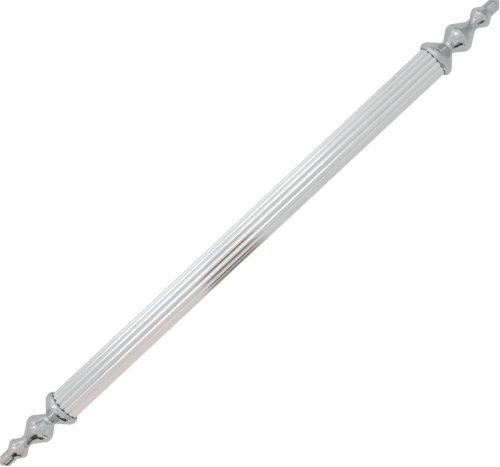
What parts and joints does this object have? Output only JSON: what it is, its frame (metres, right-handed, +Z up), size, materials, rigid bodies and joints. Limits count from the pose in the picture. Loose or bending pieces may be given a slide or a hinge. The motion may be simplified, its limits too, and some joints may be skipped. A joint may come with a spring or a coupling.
{
  "type": "magic wand",
  "caption": "Metal stage magic wand: a straight reeded tube with a turned, pointed finial that unscrews from each end.",
  "frame": {"origin": "centre of the wand, on its long axis, midway between the two tips", "axes": "X along the wand, +X towards the right finial, which is the upper right one in the picture; +Z up when the wand lies on a table; +Y across it"},
  "size_m": [0.3266, 0.0192, 0.0192],
  "materials": {
    "plated_tube": "bright plated and polished, drawn reeding",
    "plated_finial": "bright plated and polished, lathe turned",
    "brass_plug": "turned, unplated",
    "steel_stud": "zinc-plated thread",
    "steel_pin": "plain ground pin",
    "fibre_washer": "vulcanised red fibre"
  },
  "bodies": {
    "tube": {"reeded_tube": "plated_tube", "left_plug": "brass_plug", "left_plug_pin": "steel_pin", "right_plug": "brass_plug", "right_plug_pin": "steel_pin"},
    "left_cap_body": {"left_cap": "plated_finial", "left_washer": "fibre_washer"},
    "left_finial_body": {"left_large_knob": "plated_finial", "left_stud": "steel_stud"},
    "left_small_knob_body": {"left_small_knob": "plated_finial"},
    "left_tip_body": {"left_tip": "plated_finial"},
    "right_cap_body": {"right_cap": "plated_finial", "right_washer": "fibre_washer"},
    "right_finial_body": {"right_large_knob": "plated_finial", "right_stud": "steel_stud"},
    "right_small_knob_body": {"right_small_knob": "plated_finial"},
    "right_tip_body": {"right_tip": "plated_finial"}
  },
  "joints": [
    {"name": "left_cap_slide", "type": "slide", "parent": "tube", "child": "left_cap_body", "axis": [-1, 0, 0], "range_m": [0, 0.0084]},
    {"name": "left_finial_unscrew", "type": "hinge", "parent": "left_cap_body", "child": "left_finial_body", "pos_m": [-0.13, 0, 0], "axis": [-1, 0, 0], "range_deg": [0, 4320]},
    {"name": "left_small_knob_slide", "type": "slide", "parent": "left_finial_body", "child": "left_small_knob_body", "axis": [-1, 0, 0], "range_m": [0, 0.0035]},
    {"name": "left_tip_unscrew", "type": "hinge", "parent": "left_small_knob_body", "child": "left_tip_body", "pos_m": [-0.156, 0, 0], "axis": [-1, 0, 0], "range_deg": [0, 1800]},
    {"name": "right_cap_slide", "type": "slide", "parent": "tube", "child": "right_cap_body", "axis": [1, 0, 0], "range_m": [0, 0.0084]},
    {"name": "right_finial_unscrew", "type": "hinge", "parent": "right_cap_body", "child": "right_finial_body", "pos_m": [0.13, 0, 0], "axis": [1, 0, 0], "range_deg": [0, 4320]},
    {"name": "right_small_knob_slide", "type": "slide", "parent": "right_finial_body", "child": "right_small_knob_body", "axis": [1, 0, 0], "range_m": [0, 0.0035]},
    {"name": "right_tip_unscrew", "type": "hinge", "parent": "right_small_knob_body", "child": "right_tip_body", "pos_m": [0.156, 0, 0], "axis": [1, 0, 0], "range_deg": [0, 1800]}
  ],
  "couplings": [
    {"joint": "left_finial_unscrew", "follows": "left_cap_slide", "rad_per_m": 8976},
    {"joint": "left_tip_unscrew", "follows": "left_small_knob_slide", "rad_per_m": 8976},
    {"joint": "right_finial_unscrew", "follows": "right_cap_slide", "rad_per_m": 8976},
    {"joint": "right_tip_unscrew", "follows": "right_small_knob_slide", "rad_per_m": 8976}
  ]
}
